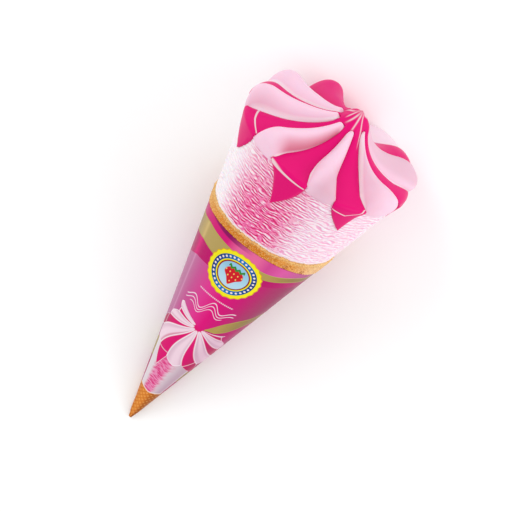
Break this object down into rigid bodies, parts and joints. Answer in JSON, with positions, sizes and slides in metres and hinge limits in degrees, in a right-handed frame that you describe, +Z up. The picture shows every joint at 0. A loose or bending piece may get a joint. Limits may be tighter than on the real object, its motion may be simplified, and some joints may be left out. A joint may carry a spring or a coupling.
{
  "type": "ice cream cone",
  "caption": "Wafer cone in a printed paper sleeve, filled with streaked strawberry ice cream under a piped, ribbed top with strawberry sauce.",
  "frame": {"origin": "on the surface the cone lies on, below the middle of its bounding box", "axes": "+X from the cone's tip towards its piped top, +Z up, the printed front and the shown side of the top face up"},
  "size_m": [0.1534, 0.0686, 0.0663],
  "materials": {
    "sleeve_paper": "glossy printed paper",
    "wafer": "dry baked crumb",
    "streaked_ice_cream": "frosty, churned",
    "piped_cream": "smooth and soft",
    "strawberry_sauce": "wet gloss"
  },
  "bodies": {
    "root": {"paper_sleeve": "sleeve_paper", "wafer_cone": "wafer", "ice_cream": "streaked_ice_cream", "cream_rosette": "piped_cream", "strawberry_sauce": "strawberry_sauce"}
  },
  "joints": []
}
